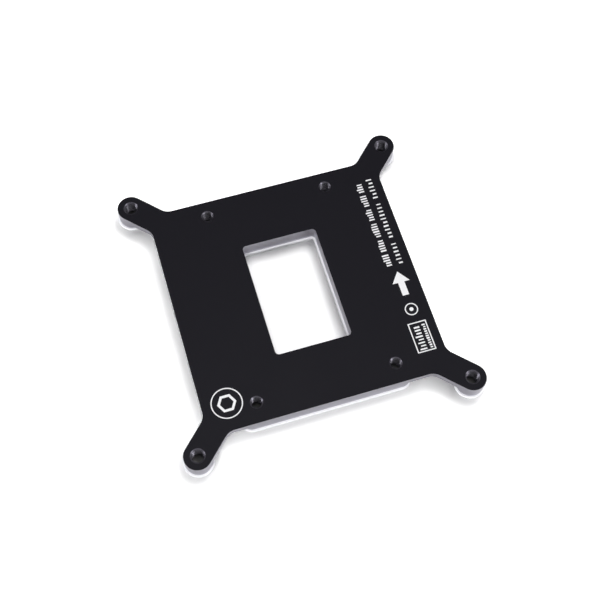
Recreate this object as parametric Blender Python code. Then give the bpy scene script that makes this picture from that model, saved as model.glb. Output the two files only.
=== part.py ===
"""Backplate of a processor cooler, the plate that lies behind a computer's main board.

One machined aluminium plate, with white insulating pads stuck to its board side: a die-cut
pad under the raised land and a ring under each of the four bosses. It lies on its pads
with its black outer face up. Metres, +Z up. The origin is the middle of the arms' hole
pattern, at the height of the surface that the pads lie on.
"""

import math

import bmesh
import bpy

MM = 0.001

# Plate, seen from its black face
BODY_SIDE = 69.7 * MM
HOLE_SPACING = 78.0 * MM
ARM_WIDTH = 7.8 * MM
ARM_FILLET_RADIUS = 4.0 * MM
WEB_THICKNESS = 2.4 * MM
RELIEF_DEPTH = 2.4 * MM
EDGE_BREAK = 0.1 * MM

# Window that clears the parts on the back of the board
WINDOW_WIDTH = 22.1 * MM
WINDOW_LENGTH = 35.0 * MM
WINDOW_CORNER_RADIUS = 1.1 * MM
SMALLEST_CORNER_RADIUS = 0.1 * MM

# Raised land round the window, from edge to edge of the body
LAND_LEFT = 25.1 * MM
LAND_RIGHT = 23.5 * MM
LAND_CORNER_RADIUS = 3.0 * MM

# Holes in the arms, tapped M4 for the cooler's screws
ARM_BORE_DIAMETER = 3.3 * MM
ARM_COUNTERSINK_DIAMETER = 4.2 * MM

# Holes in the body, tapped for the screws of the socket's frame
BODY_BORE_DIAMETER = 2.85 * MM
BODY_COUNTERSINK_DIAMETER = 3.6 * MM
FAR_HOLE_SPACING = 36.2 * MM
FAR_HOLE_EDGE_DISTANCE = 4.75 * MM
NEAR_HOLE_SPACING = 40.0 * MM
NEAR_HOLE_EDGE_DISTANCE = 5.75 * MM

# Insulating pads and the adhesive between them and the metal
PAD_THICKNESS = 0.5 * MM
PAD_OVERHANG = 0.5 * MM
PAD_HOLE_CLEARANCE = 0.4 * MM
ADHESIVE_GAP = 0.3 * MM

# The relief is milled before the outline, so its islands run a little past the outline
MILLING_RUNOUT = 0.05 * MM
CUTTER_MARGIN = 2.0 * MM

CIRCLE_STEPS = 64
BORE_STEPS = 32
FEWEST_ARC_STEPS = 2
SHARP_EDGE_DEGREES = 30.0
FULL_TURN = 360.0
HALF_TURN = 180.0
QUARTER_TURN = 90.0
DIAGONAL = 45.0

# Colours, linear, with roughness and metallic
BLACK_ANODISED = ((0.012, 0.012, 0.014), 0.42, 0.0)
BARE_ALUMINIUM = ((0.62, 0.61, 0.65), 0.35, 1.0)
WHITE_PLASTIC = ((0.9, 0.9, 0.9), 0.7, 0.0)

# Heights
LAND_FACE = PAD_THICKNESS + ADHESIVE_GAP
WEB_UNDERSIDE = LAND_FACE + RELIEF_DEPTH
OUTER_FACE = WEB_UNDERSIDE + WEB_THICKNESS

# Material slots of the plate
BLACK = 0
BARE = 1

SIDES = {"left": -1, "right": 1}
DEPTHS = {"near": -1, "far": 1}


def clear_scene():
    """Remove what the scene holds."""
    for obj in list(bpy.data.objects):
        bpy.data.objects.remove(obj, do_unlink=True)


def make_material(name, colour, roughness, metallic):
    """A plain Principled material."""
    material = bpy.data.materials.new(name)
    material.use_nodes = True
    shader = material.node_tree.nodes["Principled BSDF"]
    shader.inputs["Base Color"].default_value = (*colour, 1.0)
    shader.inputs["Roughness"].default_value = roughness
    shader.inputs["Metallic"].default_value = metallic
    material.diffuse_color = (*colour, 1.0)
    return material


def arc(centre, radius, start, end, steps):
    """Points along an arc, both ends included. Angles in degrees, either way round."""
    angles = [math.radians(start + (end - start) * i / steps) for i in range(steps + 1)]
    return [(centre[0] + radius * math.cos(a), centre[1] + radius * math.sin(a)) for a in angles]


def circle(centre, radius, steps):
    """Points round a full circle, without the repeated last one."""
    return arc(centre, radius, 0.0, FULL_TURN, steps)[:-1]


def arc_steps(degrees):
    """Steps for an arc, in proportion to a full circle's."""
    return max(FEWEST_ARC_STEPS, round(CIRCLE_STEPS * degrees / FULL_TURN))


def rounded_rectangle(left, right, near, far, radius, steps):
    """Outline of a rectangle with round corners, counter-clockwise from its far right corner."""
    corners = (
        (right - radius, far - radius),
        (left + radius, far - radius),
        (left + radius, near + radius),
        (right - radius, near + radius),
    )
    points = []
    for index, corner in enumerate(corners):
        points += arc(corner, radius, index * QUARTER_TURN, (index + 1) * QUARTER_TURN, steps)
    return points


def plate_outline(inset):
    """Outline of the body with its four diagonal arms, drawn in by inset.

    One corner is a hollow fillet, the arm's round end and a second hollow fillet. The
    outline is that corner turned through the four quarters.
    """
    half_body = BODY_SIDE / 2 - inset
    half_arm = ARM_WIDTH / 2 - inset
    fillet = ARM_FILLET_RADIUS + inset
    hole = HOLE_SPACING / 2
    fillet_along = half_body + fillet - math.sqrt(2) * (half_arm + fillet)
    fillet_out = half_body + fillet
    before_arm = DIAGONAL - QUARTER_TURN
    after_arm = DIAGONAL + QUARTER_TURN
    fillet_steps = arc_steps(DIAGONAL)
    corner = arc((fillet_out, fillet_along), fillet, HALF_TURN, after_arm, fillet_steps)
    corner += arc((hole, hole), half_arm, before_arm, after_arm, arc_steps(HALF_TURN))
    corner += arc((fillet_along, fillet_out), fillet, before_arm, -QUARTER_TURN, fillet_steps)
    points = []
    for cosine, sine in ((1, 0), (0, 1), (-1, 0), (0, -1)):
        points += [(x * cosine - y * sine, x * sine + y * cosine) for x, y in corner]
    return points


def window_outline(inset):
    """Outline of the window, drawn in by inset."""
    half_width = WINDOW_WIDTH / 2 - inset
    half_length = WINDOW_LENGTH / 2 - inset
    radius = max(WINDOW_CORNER_RADIUS - inset, SMALLEST_CORNER_RADIUS)
    steps = arc_steps(QUARTER_TURN)
    return rounded_rectangle(-half_width, half_width, -half_length, half_length, radius, steps)


def land_outline(outset):
    """Outline of the raised land, grown by outset."""
    half_depth = BODY_SIDE / 2 + outset
    return rounded_rectangle(
        -LAND_LEFT - outset,
        LAND_RIGHT + outset,
        -half_depth,
        half_depth,
        LAND_CORNER_RADIUS + outset,
        arc_steps(QUARTER_TURN),
    )


def arm_holes():
    """Centres of the arms' holes, by the name of the corner."""
    return {
        f"{depth}_{side}": (SIDES[side] * HOLE_SPACING / 2, DEPTHS[depth] * HOLE_SPACING / 2)
        for depth in DEPTHS
        for side in SIDES
    }


def body_holes():
    """Centres of the four holes in the body. The pair at the near edge is wider apart."""
    far = BODY_SIDE / 2 - FAR_HOLE_EDGE_DISTANCE
    near = NEAR_HOLE_EDGE_DISTANCE - BODY_SIDE / 2
    centres = []
    for side in SIDES.values():
        centres.append((side * FAR_HOLE_SPACING / 2, far))
        centres.append((side * NEAR_HOLE_SPACING / 2, near))
    return centres


def add_loft(bm, rings, closed=False, material=0, last_material=None):
    """Skin a stack of rings of as many points each, given as (outline, height) pairs.

    The two end rings get a face each, or are joined to each other where closed is set.
    """
    loops = [[bm.verts.new((x, y, height)) for x, y in outline] for outline, height in rings]
    pairs = list(zip(loops, loops[1:]))
    if closed:
        pairs.append((loops[-1], loops[0]))
    faces = []
    for lower, upper in pairs:
        for i, corner in enumerate(lower):
            following = (i + 1) % len(lower)
            faces.append(bm.faces.new((corner, lower[following], upper[following], upper[i])))
    if not closed:
        faces.append(bm.faces.new(list(reversed(loops[0]))))
        faces.append(bm.faces.new(loops[-1]))
    for face in faces:
        face.material_index = material
    if last_material is not None:
        faces[-1].material_index = last_material


def finish_object(name, bm, materials):
    """Turn the faces outwards, shade round walls smooth and put the mesh in the scene."""
    bmesh.ops.recalc_face_normals(bm, faces=bm.faces)
    mesh = bpy.data.meshes.new(name)
    bm.to_mesh(mesh)
    bm.free()
    for material in materials:
        mesh.materials.append(material)
    mesh.shade_smooth()
    mesh.set_sharp_from_angle(angle=math.radians(SHARP_EDGE_DEGREES))
    obj = bpy.data.objects.new(name, mesh)
    bpy.context.scene.collection.objects.link(obj)
    return obj


def loft_object(name, rings, materials, closed=False, material=0, last_material=None):
    """One lofted solid as an object."""
    bm = bmesh.new()
    add_loft(bm, rings, closed, material, last_material)
    return finish_object(name, bm, materials)


def make_cutter(obj):
    """Mark an object as a cutter, which is no part of the product."""
    obj.hide_render = True
    obj.display_type = "WIRE"
    return obj


def cut(obj, cutter):
    """Take the cutter's shape out of the object."""
    modifier = obj.modifiers.new(cutter.name, "BOOLEAN")
    modifier.operation = "DIFFERENCE"
    modifier.solver = "EXACT"
    modifier.object = cutter


def tapped_hole_rings(centre, bore_diameter, countersink_diameter):
    """Rings of a cutter for a tapped through hole with a 45 degree countersink at each end."""
    bore = bore_diameter / 2
    depth = (countersink_diameter - bore_diameter) / 2
    mouth = bore + depth + CUTTER_MARGIN
    levels = (
        (mouth, LAND_FACE - CUTTER_MARGIN),
        (bore, LAND_FACE + depth),
        (bore, OUTER_FACE - depth),
        (mouth, OUTER_FACE + CUTTER_MARGIN),
    )
    return [(circle(centre, radius, BORE_STEPS), height) for radius, height in levels]


def make_hole_cutter(name, centres, bore_diameter, countersink_diameter, materials):
    """One cutter that holds a like hole at each centre."""
    bm = bmesh.new()
    for centre in centres:
        add_loft(bm, tapped_hole_rings(centre, bore_diameter, countersink_diameter), material=BLACK)
    return make_cutter(finish_object(name, bm, materials))


def make_window_cutter(materials):
    """Window cutter, flared at both faces of the plate for the edge break."""
    flare = CUTTER_MARGIN + EDGE_BREAK
    rings = [
        (window_outline(-flare), LAND_FACE - CUTTER_MARGIN),
        (window_outline(0.0), LAND_FACE + EDGE_BREAK),
        (window_outline(0.0), OUTER_FACE - EDGE_BREAK),
        (window_outline(-flare), OUTER_FACE + CUTTER_MARGIN),
    ]
    return make_cutter(loft_object("window_cutter", rings, materials, material=BARE))


def make_relief_cutter(materials):
    """Milled relief of the board side: a slab under the web, less the land and the bosses."""
    islands = bmesh.new()
    bottom = LAND_FACE - 2 * CUTTER_MARGIN
    top = WEB_UNDERSIDE + CUTTER_MARGIN
    land = land_outline(MILLING_RUNOUT)
    add_loft(islands, [(land, bottom), (land, top)], material=BARE)
    for centre in arm_holes().values():
        boss = circle(centre, ARM_WIDTH / 2 + MILLING_RUNOUT, CIRCLE_STEPS)
        add_loft(islands, [(boss, bottom), (boss, top)], material=BARE)
    islands_cutter = make_cutter(finish_object("relief_islands", islands, materials))
    reach = HOLE_SPACING / 2 + ARM_WIDTH
    slab = [(-reach, -reach), (reach, -reach), (reach, reach), (-reach, reach)]
    rings = [(slab, LAND_FACE - CUTTER_MARGIN), (slab, WEB_UNDERSIDE)]
    relief = make_cutter(loft_object("relief_cutter", rings, materials, material=BARE))
    cut(relief, islands_cutter)
    return relief


def make_backplate(materials):
    """The plate, made in the order of its machining: blank, relief, window and holes."""
    rings = [
        (plate_outline(EDGE_BREAK), LAND_FACE),
        (plate_outline(0.0), LAND_FACE + EDGE_BREAK),
        (plate_outline(0.0), OUTER_FACE - EDGE_BREAK),
        (plate_outline(EDGE_BREAK), OUTER_FACE),
    ]
    plate = loft_object("backplate", rings, materials, material=BARE, last_material=BLACK)
    cut(plate, make_relief_cutter(materials))
    cut(plate, make_window_cutter(materials))
    arm_hole_sizes = (ARM_BORE_DIAMETER, ARM_COUNTERSINK_DIAMETER)
    body_hole_sizes = (BODY_BORE_DIAMETER, BODY_COUNTERSINK_DIAMETER)
    cut(plate, make_hole_cutter("arm_hole_cutter", arm_holes().values(), *arm_hole_sizes, materials))
    cut(plate, make_hole_cutter("body_hole_cutter", body_holes(), *body_hole_sizes, materials))
    return plate


def make_centre_pad(material):
    """Die-cut pad under the land, with the window and a clearance hole round each screw."""
    outline = land_outline(PAD_OVERHANG)
    pad = loft_object("centre_pad", [(outline, 0.0), (outline, PAD_THICKNESS)], [material])
    cutter = bmesh.new()
    window = window_outline(PAD_OVERHANG)
    hole_radius = BODY_COUNTERSINK_DIAMETER / 2 + PAD_HOLE_CLEARANCE
    for shape in [window] + [circle(centre, hole_radius, BORE_STEPS) for centre in body_holes()]:
        add_loft(cutter, [(shape, -CUTTER_MARGIN), (shape, PAD_THICKNESS + CUTTER_MARGIN)])
    cut(pad, make_cutter(finish_object("centre_pad_cutter", cutter, [material])))
    return pad


def make_boss_pad(corner, centre, material):
    """Ring-shaped pad under one boss."""
    outer = circle((0.0, 0.0), ARM_WIDTH / 2 + PAD_OVERHANG, CIRCLE_STEPS)
    inner = circle((0.0, 0.0), ARM_COUNTERSINK_DIAMETER / 2 + PAD_HOLE_CLEARANCE, CIRCLE_STEPS)
    rings = [(outer, 0.0), (outer, PAD_THICKNESS), (inner, PAD_THICKNESS), (inner, 0.0)]
    pad = loft_object(f"boss_pad_{corner}", rings, [material], closed=True)
    pad.location = (*centre, 0.0)
    return pad


def main():
    clear_scene()
    black_anodised = make_material("black_anodised_aluminium", *BLACK_ANODISED)
    bare_aluminium = make_material("machined_aluminium", *BARE_ALUMINIUM)
    white_plastic = make_material("white_insulating_plastic", *WHITE_PLASTIC)
    parts = [make_backplate([black_anodised, bare_aluminium]), make_centre_pad(white_plastic)]
    for corner, centre in arm_holes().items():
        parts.append(make_boss_pad(corner, centre, white_plastic))
    assembly = bpy.data.objects.new("cooler_backplate", None)
    bpy.context.scene.collection.objects.link(assembly)
    for part in parts:
        part.parent = assembly


main()
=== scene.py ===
"""Looks of a processor cooler's backplate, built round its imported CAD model.

The plate is black anodised on its outer face and bare where it was milled afterwards. The
pads under it are white insulating sheet, and the marks on its face are screen printed.
"""

import math
import random

import bmesh
import bpy
from mathutils import Matrix, Vector


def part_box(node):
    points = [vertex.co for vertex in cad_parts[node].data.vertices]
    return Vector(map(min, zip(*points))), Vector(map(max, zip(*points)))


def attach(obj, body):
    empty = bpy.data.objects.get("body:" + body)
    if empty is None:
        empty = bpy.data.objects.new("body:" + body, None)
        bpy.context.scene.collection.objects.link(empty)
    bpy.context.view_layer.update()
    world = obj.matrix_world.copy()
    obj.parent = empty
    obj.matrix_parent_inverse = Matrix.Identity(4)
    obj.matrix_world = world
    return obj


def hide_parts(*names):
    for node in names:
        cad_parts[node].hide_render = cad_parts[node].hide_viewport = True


bl_info = {
    "name": "Cooler backplate",
    "version": (1, 0, 0),
    "blender": (4, 5, 0),
    "location": "3D View > Sidebar > Backplate",
    "description": "Dresses a machined processor cooler backplate, its pads and its print",
    "category": "Object",
}

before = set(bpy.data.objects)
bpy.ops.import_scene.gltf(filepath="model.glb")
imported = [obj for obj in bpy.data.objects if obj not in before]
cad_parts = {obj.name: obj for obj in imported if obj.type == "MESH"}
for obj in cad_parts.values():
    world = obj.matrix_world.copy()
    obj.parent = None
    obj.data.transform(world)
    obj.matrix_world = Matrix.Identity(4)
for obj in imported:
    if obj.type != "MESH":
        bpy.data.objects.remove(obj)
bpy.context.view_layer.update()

MM = 0.001
BODY = "root"
PLATE_NODE = "backplate"
PAD_NODES = [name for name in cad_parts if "pad" in name]
PLATE_LOW, PLATE_HIGH = (Vector(corner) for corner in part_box(PLATE_NODE))
OUTER_FACE = PLATE_HIGH.z
LAND_FACE = PLATE_LOW.z
WELD_DISTANCE = 0.001 * MM

# Middles of the CAD's screw holes, and the width of their countersinks
ARM_HOLES = [(x * MM, y * MM) for x in (-39.0, 39.0) for y in (-39.0, 39.0)]
BODY_HOLES = [
    (x * MM, y * MM) for x, y in ((-18.1, 30.1), (18.1, 30.1), (-20.0, -29.1), (20.0, -29.1))
]
ARM_COUNTERSINK = 4.2 * MM
BODY_COUNTERSINK = 3.6 * MM

# How the plate's faces are told apart. Countersinks rise between two limits and lie close
# under the outer face. The outer face and its broken edges rise more than a limit and lie
# closer still. Of the other faces, the side walls rise less than a limit.
CONE_RISE_LEAST, CONE_RISE_MOST = 0.6, 0.8
CONE_DEPTH = 0.5 * MM
OUTER_RISE_LEAST = 0.3
EDGE_BREAK_DEPTH = 0.11 * MM
FLANK_RISE_MOST = 0.8

# Turns that the thread cutter runs out past each side of the plate, steps of its helix in a
# turn, and corners of the groove's section
THREAD_LEAD = 2
HELIX_STEPS = 32
GROOVE_CORNERS = 3

# Degrees between faces past which their edge is sharp. The facets of the pads' round walls
# meet at 11.3 degrees at most, and those of their rounded edges at 22.5 or more.
PLATE_SHARP = 30.0
PAD_SHARP = 20.0
PAD_EDGE_SEGMENTS = 2

# Values between which a noise pattern mostly stays
NOISE_LOW, NOISE_HIGH = 0.3, 0.7
BUMP_DEPTH = 0.01 * MM

# Rows of bars in millimetres: name, foot, height, near end, far end, spacing of the bars
BAR_ROWS = (
    ("print_row_inner", 28.9, 2.0, -0.4, 29.1, 0.82),
    ("print_row_outer", 32.2, 1.8, -0.4, 29.1, 1.25),
    ("print_box_row_inner", 29.9, 2.2, -27.6, -19.8, 0.95),
    ("print_box_row_outer", 31.6, 1.0, -27.6, -19.8, 0.7),
)
# Least and greatest scale of a bar's height, width and thickness
BAR_SCALES = (0.62, 0.8, 1.0), (1.0, 1.25, 1.0)
# The long rows fall into groups of bars. Once a group has so many, it can end after each bar.
SHORTEST_GROUP = 4
GROUP_END_CHANCE = 0.22

# Place on the outer face that the camera looks at
CAMERA_AIM = (0.148 * MM, -3.396 * MM)
SENSOR_WIDTH = 36.0
CAMERA_CLIP = 10 * MM

# Softboxes: name, azimuth, elevation and spread in degrees, and share of the table's light.
# Those of the first group light the matt surfaces only, those of the second the shiny ones.
SOFTBOXES = (
    ("top", 135.0, 85.0, 24.0, 0.06),
    ("high_far", 180.0, 55.0, 28.0, 0.16),
    ("high_back", 137.0, 54.0, 28.0, 0.33),
    ("high_right", 90.0, 55.0, 28.0, 0.12),
    ("high_front", 60.0, 55.0, 28.0, 0.04),
    ("back_low", 135.0, 8.0, 16.0, 0.05),
    ("right_low", 45.0, 8.0, 16.0, 0.06),
    ("front_low", 315.0, 8.0, 16.0, 0.13),
    ("left_low", 225.0, 8.0, 16.0, 0.07),
)
MIRRORED_SOFTBOXES = (
    ("left_strip", 242.0, 35.0, 17.0, 0.075),
    ("left_strip_foot", 262.0, 11.0, 26.0, 0.04),
    ("right_strip", 42.0, 45.0, 17.0, 0.085),
    ("right_strip_foot", 50.0, 9.0, 24.0, 0.03),
)
# White card on the near side, whose light is kept on the pads
PAD_CARD = ("pad_card", 315.0, 60.0, 40.0, 0.54)

# Table: half its width in metres, how dark the shade painted into its colour can get where the
# plate meets it, and the occlusion samples for that shade
TABLE_REACH = 3.0
DARKEST_PAINTED_SHADE = 0.3
PAINTED_SHADE_SAMPLES = 16

# Brightness that shiny surfaces mirror from the horizon, 0, to straight above, 1: white
# walls, a dark ceiling and the softbox in it
ROOM_STOPS = ((0.0, 1.0), (0.25, 0.35), (0.8, 0.0), (0.88, 0.05), (0.94, 0.7), (1.0, 2.6))
# The room on the camera's side is brighter, which shows in the threads
NEAR_SIDE_GLOW = -0.35
WHITE = (1.0, 1.0, 1.0, 1.0)


def hex_to_linear(code):
    """Linear colour of an sRGB hex value."""
    channels = [int(code[i:i + 2], 16) / 255 for i in (1, 3, 5)]
    return tuple(c / 12.92 if c <= 0.04045 else ((c + 0.055) / 1.055) ** 2.4 for c in channels)


def length(name, description, default):
    """A length that the user can change."""
    return bpy.props.FloatProperty(
        name=name, description=description, default=default, min=0.0, unit="LENGTH", precision=5
    )


def colour(name, description, code):
    """A colour that the user can change."""
    return bpy.props.FloatVectorProperty(
        name=name, description=description, default=hex_to_linear(code), size=3, min=0.0,
        max=1.0, subtype="COLOR",
    )


def angle(name, description, degrees):
    """An angle that the user can change."""
    return bpy.props.FloatProperty(
        name=name, description=description, default=math.radians(degrees), subtype="ANGLE"
    )


class PlateSettings(bpy.types.PropertyGroup):
    """Sizes and finishes of the machined plate."""

    arm_thread: length("Arm thread", "Major diameter of the threads in the arms", 4.0 * MM)
    arm_pitch: length("Arm pitch", "Pitch of the threads in the arms", 0.7 * MM)
    body_thread: length("Body thread", "Major diameter of the threads in the body", 3.505 * MM)
    body_pitch: length("Body pitch", "Pitch of the threads in the body", 0.794 * MM)
    thread_groove: length(
        "Thread groove", "Radius of the thread groove's three-cornered section", 0.33 * MM
    )
    black: colour("Anodised face", "Black anodised outer face", "#111016")
    cone: colour("Countersinks", "Black anodised countersinks", "#5c5a63")
    thread: colour("Threads", "Tapped threads", "#8c8a94")
    flank: colour("Milled flanks", "Bare aluminium of the side walls", "#bdbbc4")
    milled: colour("Milled floor", "Bare aluminium of the board side", "#c4c4c8")


class PadSettings(bpy.types.PropertyGroup):
    """Sizes and finish of the insulating pads."""

    height: length("Height", "Height of the pads with their adhesive", 0.78 * MM)
    edge: length("Edge", "Rounding of the die-cut edges", 0.06 * MM)
    sheet: colour("Sheet", "White insulating sheet", "#eeeef2")


class PrintSettings(bpy.types.PropertyGroup):
    """Sizes and finish of the screen printed marks."""

    ink_height: length("Ink height", "How far the ink stands above the face", 0.02 * MM)
    ink_root: length("Ink root", "How far the ink reaches into the face", 0.02 * MM)
    stroke: length("Stroke", "Width of the thin lines", 0.32 * MM)
    bar: length("Bar", "Width of one bar of the rows", 0.42 * MM)
    ink: colour("Ink", "White screen ink", "#f2f2f4")
    seed: bpy.props.IntProperty(
        name="Seed", description="Seed of the rows of bars", default=7, min=0
    )


class StageSettings(bpy.types.PropertyGroup):
    """Camera, lights and floor."""

    azimuth: angle("Azimuth", "Camera's direction round the plate", -19.8592)
    elevation: angle("Elevation", "Camera's height above the horizon", 65.6357)
    roll: angle("Roll", "Camera's turn about its own axis", 3.1621)
    lens: bpy.props.FloatProperty(
        name="Lens", description="Focal length on a 36 mm sensor", default=60.142, min=1.0,
        unit="CAMERA",
    )
    distance: length("Distance", "Camera's distance from the point it looks at", 284.111 * MM)
    ambient: bpy.props.FloatProperty(
        name="Ambient", description="Share of the table's light that comes from all round",
        default=0.04, min=0.0, max=1.0, subtype="FACTOR",
    )
    shown_floor: bpy.props.FloatProperty(
        name="Shown floor", description="Floor's whiteness as the camera sees it", default=1.45,
        min=0.0,
    )
    # The table's colour is darkened with painted shade this far round the plate
    painted_shade_reach: length("Contact", "How far round the plate the table is dimmed by it", 3.0 * MM)
    floor: colour("Floor", "Floor's colour for the light that it throws back", "#a0a0a0")
    mirrored_floor: colour(
        "Mirrored floor", "Floor's colour as shiny surfaces mirror it", "#ffffff"
    )


# Nodes and materials

def add_node(tree, kind, settings=None, values=None, links=None):
    """Add a node with its settings, its sockets' values and the links into it."""
    node = tree.nodes.new(kind)
    for name, value in (settings or {}).items():
        setattr(node, name, value)
    for socket, value in (values or {}).items():
        node.inputs[socket].default_value = value
    for socket, source in (links or {}).items():
        tree.links.new(source, node.inputs[socket])
    return node


def add_math(tree, operation, source, other):
    """Result of an operation on a socket and another socket or number."""
    linked = isinstance(other, bpy.types.NodeSocket)
    node = add_node(
        tree, "ShaderNodeMath", {"operation": operation}, {} if linked else {1: other},
        {0: source, 1: other} if linked else {0: source},
    )
    return node.outputs["Value"]


def new_material(name):
    """An empty node material and the Object coordinates that its patterns read."""
    material = bpy.data.materials.new(name)
    material.use_nodes = True
    tree = material.node_tree
    tree.nodes.clear()
    place = add_node(tree, "ShaderNodeTexCoord").outputs["Object"]
    return material, tree, place


def add_noise(tree, place, width, detail, roughness=0.5):
    """A noise pattern with grains about so wide."""
    node = add_node(
        tree, "ShaderNodeTexNoise",
        values={"Scale": 1 / width, "Detail": detail, "Roughness": roughness},
        links={"Vector": place},
    )
    return node.outputs["Fac"]


def add_tone(tree, base, pattern, dark, light=1.0):
    """A colour that goes from a dark to a light share of its base with the pattern."""
    node = add_node(
        tree, "ShaderNodeMix", {"data_type": "RGBA"},
        {6: (*(Vector(base) * dark), 1.0), 7: (*(Vector(base) * light), 1.0)}, {0: pattern},
    )
    return node.outputs[2]


def add_gloss(tree, pattern, smooth, rough):
    """A roughness that goes from smooth to rough with a noise pattern."""
    node = add_node(
        tree, "ShaderNodeMapRange",
        values={
            "From Min": NOISE_LOW, "From Max": NOISE_HIGH, "To Min": smooth, "To Max": rough,
        },
        links={"Value": pattern},
    )
    return node.outputs["Result"]


def add_bump(tree, pattern, strength):
    """Normals that lean with the pattern."""
    node = add_node(
        tree, "ShaderNodeBump", values={"Strength": strength, "Distance": BUMP_DEPTH},
        links={"Height": pattern},
    )
    return node.outputs["Normal"]


def finish_material(tree, values, links):
    """End the material with a shader that has those values and links."""
    shader = add_node(tree, "ShaderNodeBsdfPrincipled", values=values, links=links)
    add_node(tree, "ShaderNodeOutputMaterial", links={"Surface": shader.outputs["BSDF"]})


def satin_black_anodised():
    """Bead-blasted aluminium, anodised and dyed black.

    The blasting leaves an even grain of dents a few hundredths of a millimetre wide. They are
    drawn about ten times as coarse, or the render would not show them. The dyed oxide layer
    hides the metal, so the face is a dark, satin, non-metallic surface.
    """
    settings = bpy.context.scene.backplate_plate
    material, tree, place = new_material("satin_black_anodised_aluminium")
    grain = add_noise(tree, place, width=0.35 * MM, detail=2.0, roughness=0.6)
    cloud = add_noise(tree, place, width=14.0 * MM, detail=2.0)
    finish_material(tree, {"Specular IOR Level": 0.2}, {
        "Base Color": add_tone(tree, settings.black, grain, dark=0.9, light=1.12),
        "Roughness": add_gloss(tree, cloud, smooth=0.43, rough=0.49),
        "Normal": add_bump(tree, grain, strength=0.25),
    })
    return material


def turned_black_anodised():
    """Countersinks, cut before the anodising.

    The cutter leaves them smoother than the blasted face, and the metal shines through the
    dark layer where it is turned bright.
    """
    settings = bpy.context.scene.backplate_plate
    material, tree, place = new_material("turned_black_anodised_aluminium")
    turning = add_noise(tree, place, width=0.2 * MM, detail=1.0)
    finish_material(tree, {"Base Color": (*settings.cone, 1.0), "Metallic": 0.8}, {
        "Roughness": add_gloss(tree, turning, smooth=0.26, rough=0.34),
    })
    return material


def tapped_aluminium():
    """Threads cut by a tap, smooth enough to catch bright glints deep in the holes.

    The tap's lands leave faint steps round each turn, a tenth of a millimetre long.
    """
    settings = bpy.context.scene.backplate_plate
    material, tree, place = new_material("tapped_aluminium")
    steps = add_noise(tree, place, width=0.15 * MM, detail=1.0)
    finish_material(tree, {"Metallic": 1.0}, {
        "Base Color": add_tone(tree, settings.thread, steps, dark=0.75),
        "Roughness": add_gloss(tree, steps, smooth=0.24, rough=0.34),
    })
    return material


def milled_flank():
    """Side walls cut by the flank of an end mill, bare after the anodising.

    The cutter's edges leave fine streaks straight up the wall, about 0.1 mm apart. They are
    drawn 0.4 mm apart.
    """
    settings = bpy.context.scene.backplate_plate
    material, tree, place = new_material("end_milled_aluminium")
    upright = add_node(
        tree, "ShaderNodeMapping", values={"Scale": (1.0, 1.0, 0.04)}, links={"Vector": place}
    )
    streaks = add_noise(
        tree, upright.outputs["Vector"], width=0.4 * MM, detail=2.0, roughness=0.6
    )
    finish_material(tree, {"Metallic": 1.0}, {
        "Base Color": add_tone(tree, settings.flank, streaks, dark=0.85),
        "Roughness": add_gloss(tree, streaks, smooth=0.3, rough=0.42),
        "Normal": add_bump(tree, streaks, strength=0.3),
    })
    return material


def milled_floor():
    """Board side, faced by a cutter that went back and forth along the plate.

    Each pass leaves rows of arcs, one for each turn of the cutter. The arcs are about 0.1 mm
    apart and are drawn 0.5 mm apart.
    """
    settings = bpy.context.scene.backplate_plate
    material, tree, place = new_material("face_milled_aluminium")
    axes = add_node(tree, "ShaderNodeSeparateXYZ", links={"Vector": place}).outputs
    cutter = 12.0 * MM
    step_over = 9.0 * MM
    spacing = 0.5 * MM
    lane = add_math(tree, "PINGPONG", axes["X"], step_over / 2)
    bow = add_math(tree, "DIVIDE", add_math(tree, "POWER", lane, 2.0), cutter)
    along = add_math(tree, "ADD", axes["Y"], bow)
    turns = add_math(tree, "PINGPONG", along, spacing / 2)
    arcs = add_math(tree, "MULTIPLY", turns, 2 / spacing)
    finish_material(tree, {"Metallic": 1.0, "Roughness": 0.36}, {
        "Base Color": add_tone(tree, settings.milled, arcs, dark=0.86),
        "Normal": add_bump(tree, arcs, strength=0.3),
    })
    return material


def insulating_sheet():
    """Die-cut white insulating sheet with a faint grain from its rollers."""
    settings = bpy.context.scene.backplate_pads
    material, tree, place = new_material("white_insulating_sheet")
    grain = add_noise(tree, place, width=0.5 * MM, detail=3.0)
    finish_material(tree, {"Roughness": 0.5}, {
        "Base Color": add_tone(tree, settings.sheet, grain, dark=0.96),
        "Normal": add_bump(tree, grain, strength=0.2),
    })
    return material


def screen_ink():
    """White screen ink, matt, with the faint unevenness that the mesh of the screen leaves."""
    settings = bpy.context.scene.backplate_print
    material, tree, place = new_material("white_screen_ink")
    mesh_marks = add_noise(tree, place, width=0.25 * MM, detail=1.0)
    finish_material(tree, {"Roughness": 0.6}, {
        "Base Color": add_tone(tree, settings.ink, mesh_marks, dark=0.9),
    })
    return material


# Meshes

def link_object(name, mesh):
    """Put a mesh in the scene as an object of that name."""
    obj = bpy.data.objects.new(name, mesh)
    bpy.context.scene.collection.objects.link(obj)
    return obj


def object_from(bm, name, materials):
    """Make an object of a finished bmesh, with those materials."""
    mesh = bpy.data.meshes.new(name)
    bm.to_mesh(mesh)
    bm.free()
    mesh.materials.clear()
    for material in materials:
        mesh.materials.append(material)
    return link_object(name, mesh)


def merged_copy(node):
    """A joined-up copy of a CAD node's loose triangles, without their old normals."""
    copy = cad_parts[node].data.copy()
    for name in ("custom_normal", "sharp_edge", "sharp_face"):
        if name in copy.attributes:
            copy.attributes.remove(copy.attributes[name])
    bm = bmesh.new()
    bm.from_mesh(copy)
    bpy.data.meshes.remove(copy)
    bmesh.ops.remove_doubles(bm, verts=bm.verts, dist=WELD_DISTANCE)
    return bm


def shade(mesh, degrees):
    """Smooth round walls, with sharp edges where faces meet at more than that angle."""
    mesh.shade_smooth()
    mesh.set_sharp_from_angle(angle=math.radians(degrees))


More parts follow.
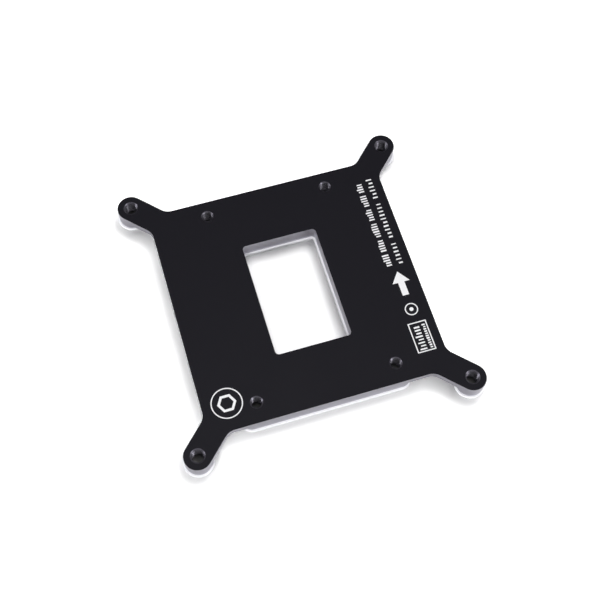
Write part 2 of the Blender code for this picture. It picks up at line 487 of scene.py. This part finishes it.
def bake_modifiers(obj, name):
    """Replace an object that has modifiers by a plain one with the result as its mesh."""
    evaluated = obj.evaluated_get(bpy.context.evaluated_depsgraph_get())
    mesh = bpy.data.meshes.new_from_object(evaluated)
    mesh.name = name
    bpy.data.objects.remove(obj)
    return link_object(name, mesh)


# Geometry Nodes

def new_geometry_tree(name, inputs):
    """A node tree with a geometry input, named inputs and a geometry output."""
    tree = bpy.data.node_groups.new(name, "GeometryNodeTree")
    tree.interface.new_socket("Geometry", in_out="INPUT", socket_type="NodeSocketGeometry")
    for socket, kind in inputs.items():
        tree.interface.new_socket(socket, in_out="INPUT", socket_type=kind)
    tree.interface.new_socket("Geometry", in_out="OUTPUT", socket_type="NodeSocketGeometry")
    return tree, add_node(tree, "NodeGroupInput").outputs


def end_tree(tree, instances, given):
    """Realize the instances, set their material and end the tree."""
    real = add_node(tree, "GeometryNodeRealizeInstances", links={"Geometry": instances})
    dressed = add_node(
        tree, "GeometryNodeSetMaterial",
        links={"Geometry": real.outputs["Geometry"], "Material": given["Material"]},
    )
    add_node(tree, "NodeGroupOutput", links={"Geometry": dressed.outputs["Geometry"]})


def run_tree(places, tree, values, name):
    """Run a tree on points with its inputs set, and return the result as a plain object."""
    mesh = bpy.data.meshes.new(f"{name}_places")
    mesh.from_pydata(places, [], [])
    obj = link_object(f"{name}_places", mesh)
    modifier = obj.modifiers.new(tree.name, "NODES")
    modifier.node_group = tree
    for item in tree.interface.items_tree:
        if item.in_out == "INPUT" and item.name in values:
            modifier[item.identifier] = values[item.name]
    return bake_modifiers(obj, name)


def thread_tree():
    """A three-cornered groove along a helix, at each point that it is given."""
    tree, given = new_geometry_tree("thread_grooves", {
        "Pitch": "NodeSocketFloat", "Helix Radius": "NodeSocketFloat",
        "Groove": "NodeSocketFloat", "Turns": "NodeSocketFloat",
        "Material": "NodeSocketMaterial",
    })
    helix = add_node(
        tree, "GeometryNodeCurveSpiral", values={"Resolution": HELIX_STEPS, "Reverse": False},
        links={
            "Rotations": given["Turns"], "Start Radius": given["Helix Radius"],
            "End Radius": given["Helix Radius"],
            "Height": add_math(tree, "MULTIPLY", given["Pitch"], given["Turns"]),
        },
    )
    upright = add_node(
        tree, "GeometryNodeSetCurveNormal", {"mode": "Z_UP"},
        links={"Curve": helix.outputs["Curve"]},
    )
    section = add_node(
        tree, "GeometryNodeCurvePrimitiveCircle", {"mode": "RADIUS"},
        {"Resolution": GROOVE_CORNERS}, {"Radius": given["Groove"]},
    )
    # The helix's normals point to its axis, so the section is turned to put its corner outside
    pointed_out = add_node(
        tree, "GeometryNodeTransform", values={"Rotation": (0.0, 0.0, math.pi)},
        links={"Geometry": section.outputs["Curve"]},
    )
    groove = add_node(
        tree, "GeometryNodeCurveToMesh", values={"Fill Caps": True},
        links={
            "Curve": upright.outputs["Curve"],
            "Profile Curve": pointed_out.outputs["Geometry"],
        },
    )
    grooves = add_node(
        tree, "GeometryNodeInstanceOnPoints",
        links={"Points": given["Geometry"], "Instance": groove.outputs["Mesh"]},
    )
    end_tree(tree, grooves.outputs["Instances"], given)
    return tree


def bar_row_tree():
    """A row of upright bars of random height and width, on the points that it is given."""
    tree, given = new_geometry_tree("bar_row", {
        "Bar": "NodeSocketFloat", "Height": "NodeSocketFloat", "Thickness": "NodeSocketFloat",
        "Seed": "NodeSocketInt", "Material": "NodeSocketMaterial",
    })
    size = add_node(
        tree, "ShaderNodeCombineXYZ",
        links={"X": given["Height"], "Y": given["Bar"], "Z": given["Thickness"]},
    )
    bar = add_node(tree, "GeometryNodeMeshCube", links={"Size": size.outputs["Vector"]})
    half = add_node(
        tree, "ShaderNodeVectorMath", {"operation": "MULTIPLY"}, {1: (-0.5, 0.0, 0.0)},
        {0: size.outputs["Vector"]},
    )
    standing = add_node(
        tree, "GeometryNodeTransform",
        links={"Geometry": bar.outputs["Mesh"], "Translation": half.outputs["Vector"]},
    )
    scale = add_node(
        tree, "FunctionNodeRandomValue", {"data_type": "FLOAT_VECTOR"},
        {0: BAR_SCALES[0], 1: BAR_SCALES[1]}, {"Seed": given["Seed"]},
    )
    bars = add_node(
        tree, "GeometryNodeInstanceOnPoints",
        links={
            "Points": given["Geometry"], "Instance": standing.outputs["Geometry"],
            "Scale": scale.outputs[0],
        },
    )
    end_tree(tree, bars.outputs["Instances"], given)
    return tree


# Plate and pads

def cut_threads(plate, centres, diameter, pitch, finish):
    """Cut a thread of that size through the plate at each centre."""
    settings = bpy.context.scene.backplate_plate
    lead = THREAD_LEAD * pitch
    start = LAND_FACE - lead
    values = {
        "Pitch": pitch, "Helix Radius": diameter / 2 - settings.thread_groove,
        "Groove": settings.thread_groove, "Turns": (OUTER_FACE + lead - start) / pitch,
        "Material": finish,
    }
    places = [(x, y, start) for x, y in centres]
    cutter = run_tree(places, thread_tree(), values, "thread_cutter")
    modifier = plate.modifiers.new("threads", "BOOLEAN")
    modifier.operation = "DIFFERENCE"
    modifier.solver = "EXACT"
    modifier.object = cutter
    cut = bake_modifiers(plate, plate.name)
    bpy.data.objects.remove(cutter)
    return cut


def paint_plate(mesh):
    """Give each face of the plate the finish of the tool that made it."""
    face, cone, thread, flank, floor = range(5)
    holes = [(Vector(c), ARM_COUNTERSINK / 2) for c in ARM_HOLES]
    holes += [(Vector(c), BODY_COUNTERSINK / 2) for c in BODY_HOLES]
    for polygon in mesh.polygons:
        centre, rise = polygon.center, polygon.normal.z
        sloped = CONE_RISE_LEAST < rise < CONE_RISE_MOST
        if any((centre.xy - middle).length < radius for middle, radius in holes):
            high = centre.z > OUTER_FACE - CONE_DEPTH
            polygon.material_index = cone if sloped and high else thread
        elif rise > OUTER_RISE_LEAST and centre.z > OUTER_FACE - EDGE_BREAK_DEPTH:
            polygon.material_index = face
        elif abs(rise) < FLANK_RISE_MOST:
            polygon.material_index = flank
        else:
            polygon.material_index = floor


class BACKPLATE_OT_plate(bpy.types.Operator):
    """Make the machined plate with its threads from the CAD's plate"""

    bl_idname = "backplate.make_plate"
    bl_label = "Plate"

    def execute(self, context):
        settings = context.scene.backplate_plate
        tapped = tapped_aluminium()
        # In the order of the finishes in paint_plate
        finishes = (
            satin_black_anodised(), turned_black_anodised(), tapped, milled_flank(),
            milled_floor(),
        )
        plate = object_from(merged_copy(PLATE_NODE), "machined_plate", finishes)
        plate = cut_threads(plate, ARM_HOLES, settings.arm_thread, settings.arm_pitch, tapped)
        plate = cut_threads(
            plate, BODY_HOLES, settings.body_thread, settings.body_pitch, tapped
        )
        paint_plate(plate.data)
        shade(plate.data, PLATE_SHARP)
        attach(plate, BODY)
        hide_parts(PLATE_NODE)
        return {"FINISHED"}


class BACKPLATE_OT_pads(bpy.types.Operator):
    """Make the insulating pads, drawn up to the metal that they are stuck to"""

    bl_idname = "backplate.make_pads"
    bl_label = "Pads"

    def execute(self, context):
        settings = context.scene.backplate_pads
        sheet = insulating_sheet()
        for node in PAD_NODES:
            bm = merged_copy(node)
            middle = sum(vert.co.z for vert in bm.verts) / len(bm.verts)
            for vert in bm.verts:
                if vert.co.z > middle:
                    vert.co.z = settings.height
            name = f"{node}_sheet"
            pad = object_from(bm, name, [sheet])
            bevel = pad.modifiers.new("die_cut_edge", "BEVEL")
            bevel.width = settings.edge
            bevel.segments = PAD_EDGE_SEGMENTS
            bevel.limit_method = "ANGLE"
            # Sliding along the thin triangles of the flat faces would fold the rounding over
            bevel.loop_slide = False
            pad = bake_modifiers(pad, name)
            shade(pad.data, PAD_SHARP)
            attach(pad, BODY)
            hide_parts(node)
        return {"FINISHED"}


# Print

def circle(centre, radius, steps):
    """Points round a circle."""
    angles = [2 * math.pi * i / steps for i in range(steps)]
    return [(centre[0] + radius * math.cos(a), centre[1] + radius * math.sin(a)) for a in angles]


def rectangle(left, right, near, far):
    """Corners of a rectangle."""
    return [(right, far), (left, far), (left, near), (right, near)]


def ink_levels():
    """Bottom and top height of the ink."""
    settings = bpy.context.scene.backplate_print
    return OUTER_FACE - settings.ink_root, OUTER_FACE + settings.ink_height


def add_shape(bm, outline):
    """Add a closed flat shape of ink, from its outline."""
    low, high = ink_levels()
    under = [bm.verts.new((x, y, low)) for x, y in outline]
    over = [bm.verts.new((x, y, high)) for x, y in outline]
    bm.faces.new(over)
    bm.faces.new(list(reversed(under)))
    for i in range(len(outline)):
        j = (i + 1) % len(outline)
        bm.faces.new((under[i], under[j], over[j], over[i]))


def add_line(bm, outer, inner):
    """Add a closed line of ink, between two outlines of as many points."""
    low, high = ink_levels()
    loops = [
        [bm.verts.new((x, y, z)) for x, y in outline]
        for outline, z in ((outer, low), (outer, high), (inner, high), (inner, low))
    ]
    for a, b in zip(loops, loops[1:] + loops[:1]):
        for i in range(len(outer)):
            j = (i + 1) % len(outer)
            bm.faces.new((a[i], a[j], b[j], b[i]))


def add_ring(bm, centre, radius, width, steps):
    """Add a round or many-cornered line of ink."""
    add_line(bm, circle(centre, radius, steps), circle(centre, radius - width, steps))


def finish_ink(bm, name, ink):
    """Make a piece of ink from its solids."""
    bmesh.ops.recalc_face_normals(bm, faces=bm.faces)
    piece = object_from(bm, name, [ink])
    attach(piece, BODY)
    return piece


class BACKPLATE_OT_print_rows(bpy.types.Operator):
    """Print the rows of plain bars along the right edge"""

    bl_idname = "backplate.print_rows"
    bl_label = "Printed rows"

    def execute(self, context):
        settings = context.scene.backplate_print
        ink = screen_ink()
        low, high = ink_levels()
        rng = random.Random(settings.seed)
        for index, (name, *sizes) in enumerate(BAR_ROWS):
            foot, height, near, far, spacing = (size * MM for size in sizes)
            in_groups = "box" not in name
            places = []
            y = near + settings.bar / 2
            bars = 0
            while y <= far - settings.bar / 2:
                places.append((foot, y, (low + high) / 2))
                bars += 1
                y += spacing
                if in_groups and bars >= SHORTEST_GROUP and rng.random() < GROUP_END_CHANCE:
                    y += spacing
                    bars = 0
            values = {
                "Bar": settings.bar, "Height": height, "Thickness": high - low,
                "Seed": settings.seed + index, "Material": ink,
            }
            row = run_tree(places, bar_row_tree(), values, name)
            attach(row, BODY)
        return {"FINISHED"}


class BACKPLATE_OT_print_marks(bpy.types.Operator):
    """Print the arrow, the ring and dot, the frame round the short rows and the round emblem"""

    bl_idname = "backplate.print_marks"
    bl_label = "Printed marks"

    def execute(self, context):
        settings = context.scene.backplate_print
        ink = screen_ink()
        stroke = settings.stroke

        # Arrow to the far edge
        bm = bmesh.new()
        tip, shoulder, tail = -2.7 * MM, -6.2 * MM, -10.4 * MM
        middle, head, shaft = 29.6 * MM, 2.6 * MM, 0.95 * MM
        add_shape(bm, [
            (middle, tip), (middle - head, shoulder), (middle - shaft, shoulder),
            (middle - shaft, tail), (middle + shaft, tail), (middle + shaft, shoulder),
            (middle + head, shoulder),
        ])
        finish_ink(bm, "print_arrow", ink)

        # Ring and dot
        bm = bmesh.new()
        centre = (29.6 * MM, -15.0 * MM)
        add_ring(bm, centre, radius=1.9 * MM, width=stroke, steps=48)
        add_shape(bm, circle(centre, radius=0.6 * MM, steps=32))
        finish_ink(bm, "print_ring", ink)

        # Frame round the short rows
        bm = bmesh.new()
        left, right, near, far = 26.9 * MM, 32.3 * MM, -28.3 * MM, -19.1 * MM
        add_line(
            bm, rectangle(left, right, near, far),
            rectangle(left + stroke, right - stroke, near + stroke, far - stroke),
        )
        finish_ink(bm, "print_frame", ink)

        # Round emblem with a plain hexagon nut
        bm = bmesh.new()
        centre = (-27.8 * MM, -27.1 * MM)
        add_ring(bm, centre, radius=4.4 * MM, width=stroke, steps=72)
        add_ring(bm, centre, radius=2.7 * MM, width=0.8 * MM, steps=6)
        finish_ink(bm, "print_emblem", ink)
        return {"FINISHED"}


# Stage

def direction(azimuth, elevation):
    """Unit vector towards an azimuth and elevation, by the camera's way of counting."""
    level = math.cos(elevation)
    return Vector((
        math.sin(azimuth) * level, -math.cos(azimuth) * level, math.sin(elevation)
    ))


def make_camera(settings):
    """The camera that the photograph was taken with."""
    back = direction(settings.azimuth, settings.elevation)
    level = Vector((math.cos(settings.azimuth), math.sin(settings.azimuth), 0.0))
    upward = level.cross(-back)
    cosine, sine = math.cos(settings.roll), math.sin(settings.roll)
    right = cosine * level + sine * upward
    up = cosine * upward - sine * level
    place = Matrix((right, up, back)).transposed().to_4x4()
    place.translation = Vector((*CAMERA_AIM, OUTER_FACE)) + settings.distance * back
    data = bpy.data.cameras.new("camera")
    data.lens = settings.lens
    data.sensor_width = SENSOR_WIDTH
    data.clip_start = CAMERA_CLIP
    camera = bpy.data.objects.new("camera", data)
    camera.matrix_world = place
    bpy.context.scene.collection.objects.link(camera)
    bpy.context.scene.camera = camera


def add_softbox(mirrored, name, azimuth, elevation, spread, share):
    """A softbox so far away that it lights the whole table alike.

    share is its part of the light on the table. A white table under shares that add up to 1
    renders as white.
    """
    towards = direction(math.radians(azimuth), math.radians(elevation))
    data = bpy.data.lights.new(name, "SUN")
    data.energy = math.pi * share / towards.z
    data.angle = math.radians(spread)
    lamp = bpy.data.objects.new(name, data)
    lamp.rotation_euler = towards.to_track_quat("Z", "Y").to_euler()
    lamp.visible_diffuse = not mirrored
    lamp.visible_glossy = mirrored
    bpy.context.scene.collection.objects.link(lamp)
    return lamp


def split_by_ray(tree, unseen, mirrored, shown, output):
    """End a tree with its shaders for the light, for mirroring surfaces and for the camera."""
    path = add_node(tree, "ShaderNodeLightPath").outputs
    in_the_room = add_node(
        tree, "ShaderNodeMixShader",
        links={0: path["Is Glossy Ray"], 1: unseen.outputs[0], 2: mirrored.outputs[0]},
    )
    surface = add_node(
        tree, "ShaderNodeMixShader",
        links={0: path["Is Camera Ray"], 1: in_the_room.outputs[0], 2: shown.outputs[0]},
    )
    add_node(tree, output, links={"Surface": surface.outputs[0]})


def make_floor(settings):
    """White table top, seen as white, keeping the plate's shadow, with painted shade where they
    meet.
    """
    material, tree, _ = new_material("white_table_with_painted_contact_shade")
    # Painted shade: occlusion darkens the table's colour in the crevice where the plate meets
    # it, beyond what the lamps alone leave
    occlusion_for_painted_shade = add_node(
        tree, "ShaderNodeAmbientOcclusion", {"samples": PAINTED_SHADE_SAMPLES},
        {"Distance": settings.painted_shade_reach},
    )
    painted_contact_shade = add_math(tree, "MAXIMUM", occlusion_for_painted_shade.outputs["AO"], DARKEST_PAINTED_SHADE)
    in_mirrors = add_node(
        tree, "ShaderNodeVectorMath", {"operation": "SCALE"}, {0: settings.mirrored_floor},
        {3: painted_contact_shade},
    )
    level = add_math(tree, "MULTIPLY", painted_contact_shade, settings.shown_floor)
    plain = add_node(tree, "ShaderNodeBsdfDiffuse", values={"Color": (*settings.floor, 1.0)})
    mirrored = add_node(
        tree, "ShaderNodeBsdfDiffuse", links={"Color": in_mirrors.outputs["Vector"]}
    )
    bright = add_node(tree, "ShaderNodeBsdfDiffuse", links={"Color": level})
    split_by_ray(tree, plain, mirrored, bright, "ShaderNodeOutputMaterial")
    mesh = bpy.data.meshes.new("table_top")
    corners = rectangle(-TABLE_REACH, TABLE_REACH, -TABLE_REACH, TABLE_REACH)
    mesh.from_pydata([(x, y, 0.0) for x, y in corners], [], [(0, 1, 2, 3)])
    mesh.materials.append(material)
    floor = link_object("table_top", mesh)


def make_world(settings):
    """White surroundings for the camera and dim, even light from all round."""
    world = bpy.data.worlds.new("studio")
    world.use_nodes = True
    tree = world.node_tree
    tree.nodes.clear()
    way = add_node(tree, "ShaderNodeTexCoord")
    axes = add_node(
        tree, "ShaderNodeSeparateXYZ", links={"Vector": way.outputs["Generated"]}
    ).outputs
    room = add_node(tree, "ShaderNodeValToRGB", links={"Fac": axes["Z"]})
    ramp = room.color_ramp
    # A new ramp has the first and the last stop
    for position, _ in ROOM_STOPS[1:-1]:
        ramp.elements.new(position)
    for element, (_, level) in zip(ramp.elements, ROOM_STOPS):
        element.color = (level, level, level, 1.0)
    near_side = add_node(
        tree, "ShaderNodeMath", {"operation": "MULTIPLY", "use_clamp": True},
        {1: NEAR_SIDE_GLOW}, {0: axes["Y"]},
    )
    glow = add_node(
        tree, "ShaderNodeBackground", values={"Color": WHITE},
        links={"Strength": near_side.outputs["Value"]},
    )
    walls = add_node(tree, "ShaderNodeBackground", links={"Color": room.outputs["Color"]})
    mirrored = add_node(
        tree, "ShaderNodeAddShader", links={0: glow.outputs[0], 1: walls.outputs[0]}
    )
    even = add_node(
        tree, "ShaderNodeBackground", values={"Color": WHITE, "Strength": settings.ambient}
    )
    white = add_node(tree, "ShaderNodeBackground", values={"Color": WHITE, "Strength": 1.0})
    split_by_ray(tree, even, mirrored, white, "ShaderNodeOutputWorld")
    bpy.context.scene.world = world


class BACKPLATE_OT_stage(bpy.types.Operator):
    """Set the camera, the lights, the table top and the surroundings"""

    bl_idname = "backplate.make_stage"
    bl_label = "Stage"

    def execute(self, context):
        settings = context.scene.backplate_stage
        make_camera(settings)
        make_floor(settings)
        make_world(settings)
        for softbox in SOFTBOXES:
            add_softbox(False, *softbox)
        for softbox in MIRRORED_SOFTBOXES:
            add_softbox(True, *softbox)
        pads = bpy.data.collections.new("pads_in_the_card_light")
        for node in PAD_NODES:
            pads.objects.link(bpy.data.objects[f"{node}_sheet"])
        card = add_softbox(False, *PAD_CARD)
        card.light_linking.receiver_collection = pads
        context.scene.view_settings.view_transform = "Standard"
        return {"FINISHED"}


class BACKPLATE_PT_panel(bpy.types.Panel):
    """Lists the steps that make the backplate"""

    bl_idname = "BACKPLATE_PT_panel"
    bl_label = "Cooler backplate"
    bl_space_type = "VIEW_3D"
    bl_region_type = "UI"
    bl_category = "Backplate"

    def draw(self, context):
        for group in GROUPS:
            settings = getattr(context.scene, group)
            for name in settings.__annotations__:
                self.layout.prop(settings, name)
        for operator in OPERATORS:
            self.layout.operator(operator.bl_idname)


GROUPS = {
    "backplate_plate": PlateSettings,
    "backplate_pads": PadSettings,
    "backplate_print": PrintSettings,
    "backplate_stage": StageSettings,
}
OPERATORS = (
    BACKPLATE_OT_plate,
    BACKPLATE_OT_pads,
    BACKPLATE_OT_print_rows,
    BACKPLATE_OT_print_marks,
    BACKPLATE_OT_stage,
)


def register():
    """Register the settings, the operators and the panel."""
    for name, group in GROUPS.items():
        bpy.utils.register_class(group)
        setattr(bpy.types.Scene, name, bpy.props.PointerProperty(type=group))
    for cls in (*OPERATORS, BACKPLATE_PT_panel):
        bpy.utils.register_class(cls)


def unregister():
    """Take back what register did."""
    for cls in reversed((*OPERATORS, BACKPLATE_PT_panel)):
        bpy.utils.unregister_class(cls)
    for name, group in GROUPS.items():
        delattr(bpy.types.Scene, name)
        bpy.utils.unregister_class(group)


def main():
    """Make every piece and the stage."""
    register()
    bpy.ops.backplate.make_plate()
    bpy.ops.backplate.make_pads()
    bpy.ops.backplate.print_rows()
    bpy.ops.backplate.print_marks()
    bpy.ops.backplate.make_stage()


if __name__ == "__main__":
    main()
